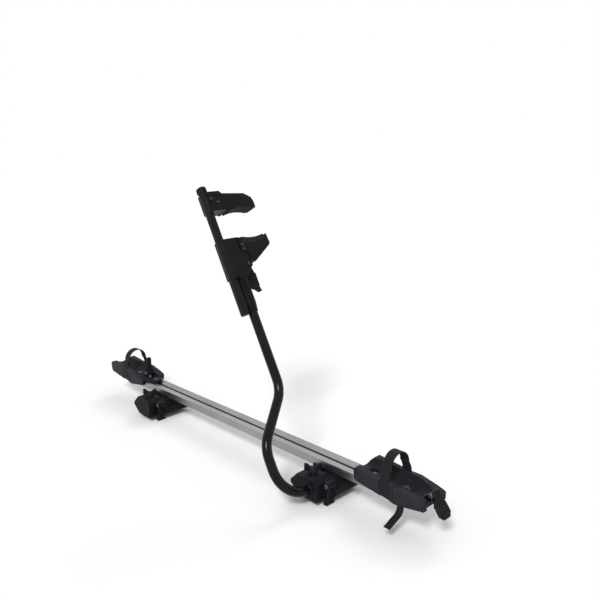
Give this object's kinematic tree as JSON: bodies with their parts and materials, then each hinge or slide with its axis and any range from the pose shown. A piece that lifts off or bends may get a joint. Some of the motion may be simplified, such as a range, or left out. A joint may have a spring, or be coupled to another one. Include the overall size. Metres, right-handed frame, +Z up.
{
  "type": "roof mounted bike carrier",
  "caption": "Roof bar bike carrier: T-slot rail on clamping feet, strapped wheel trays, and a folding bent arm whose sliding jaws grip a bicycle's down tube.",
  "frame": {"origin": "centre of the front foot's rubber seat, on top of the front roof bar", "axes": "+X along the rail to the front, +Y across the rail away from the arm, +Z up"},
  "size_m": [1.3626, 0.249, 0.7704],
  "materials": {
    "rail_aluminium": "satin anodised extrusion",
    "black_moulding": "fine-grained moulded polyamide",
    "tray_moulding": "charcoal moulded plastic, slightly blue",
    "jaw_moulding": "black moulded plastic, semi matt",
    "black_tube": "satin black powder coat",
    "rubber": "matt black rubber",
    "steel": "zinc plated",
    "webbing": "black woven webbing"
  },
  "bodies": {
    "carrier": {"rail": "rail_aluminium", "front_end_cap": "black_moulding", "rear_end_cap": "black_moulding", "front_foot_base": "black_moulding", "front_bar_pad": "rubber", "front_claw_pin": "steel", "front_stud": "steel", "front_rail_bolts": "steel", "rear_foot_base": "black_moulding", "rear_bar_pad": "rubber", "rear_claw_pin": "steel", "rear_stud": "steel", "rear_rail_bolts": "steel", "pivot_bush": "black_moulding", "pivot_screw": "steel", "front_tray": "tray_moulding", "front_tray_bolts": "steel", "front_strap": "webbing", "front_strap_tail": "webbing", "front_tensioner_bracket": "black_tube", "front_tensioner_pin": "steel"},
    "front_clamp": {"front_claw": "black_moulding"},
    "rear_clamp": {"rear_claw": "black_moulding"},
    "front_knob": {"front_wing_knob": "black_moulding"},
    "rear_knob": {"rear_wing_knob": "black_moulding"},
    "arm": {"arm_tube": "black_tube", "arm_journal": "steel", "holder_housing": "jaw_moulding", "lower_jaw": "jaw_moulding", "lower_jaw_pad": "rubber", "lower_jaw_screws": "steel", "clamp_lever_pin": "steel"},
    "lever": {"clamp_lever": "black_moulding"},
    "slider": {"slide_bar": "black_tube", "slide_bar_plug": "black_moulding", "slide_bar_cap": "black_moulding", "upper_jaw": "jaw_moulding", "upper_jaw_pad": "rubber", "upper_jaw_bolts": "steel"},
    "rear_carriage": {"rear_tray": "tray_moulding", "rear_tray_bolts": "steel", "rear_strap": "webbing", "rear_tensioner_bracket": "black_tube", "rear_tensioner_pin": "steel"},
    "front_tensioner": {"front_tensioner_lever": "black_moulding"},
    "rear_tensioner": {"rear_tensioner_lever": "black_moulding"}
  },
  "joints": [
    {"name": "arm_fold", "type": "hinge", "parent": "carrier", "child": "arm", "pos_m": [0.00995, -0.076, 0.027], "axis": [0, 1, 0], "range_deg": [-40, 35]},
    {"name": "jaw_slide", "type": "slide", "parent": "arm", "child": "slider", "axis": [-0.4695, 0, 0.8829], "range_m": [-0.062, 0.015]},
    {"name": "clamp_lever_turn", "type": "hinge", "parent": "arm", "child": "lever", "pos_m": [-0.2661, -0.045, 0.54617], "axis": [0.8829, 0, 0.4695], "range_deg": [0, 25]},
    {"name": "front_claw_swing", "type": "hinge", "parent": "carrier", "child": "front_clamp", "pos_m": [0.048, -0.062, 0.04], "axis": [0, -1, 0], "range_deg": [0, 35]},
    {"name": "rear_claw_swing", "type": "hinge", "parent": "carrier", "child": "rear_clamp", "pos_m": [-0.687, -0.062, 0.04], "axis": [0, -1, 0], "range_deg": [0, 35]},
    {"name": "front_knob_turn", "type": "hinge", "parent": "carrier", "child": "front_knob", "pos_m": [0, -0.07, 0.06], "axis": [0, 0, 1], "continuous": true},
    {"name": "rear_knob_turn", "type": "hinge", "parent": "carrier", "child": "rear_knob", "pos_m": [-0.735, -0.07, 0.06], "axis": [0, 0, 1], "continuous": true},
    {"name": "rear_tray_slide", "type": "slide", "parent": "carrier", "child": "rear_carriage", "axis": [1, 0, 0], "range_m": [0, 0.4]},
    {"name": "front_tensioner_swing", "type": "hinge", "parent": "carrier", "child": "front_tensioner", "pos_m": [0.308, 0, 0.094], "axis": [0, 1, 0], "range_deg": [-140, 0]},
    {"name": "rear_tensioner_swing", "type": "hinge", "parent": "rear_carriage", "child": "rear_tensioner", "pos_m": [-0.841, 0, 0.094], "axis": [0, 1, 0], "range_deg": [0, 100]}
  ]
}
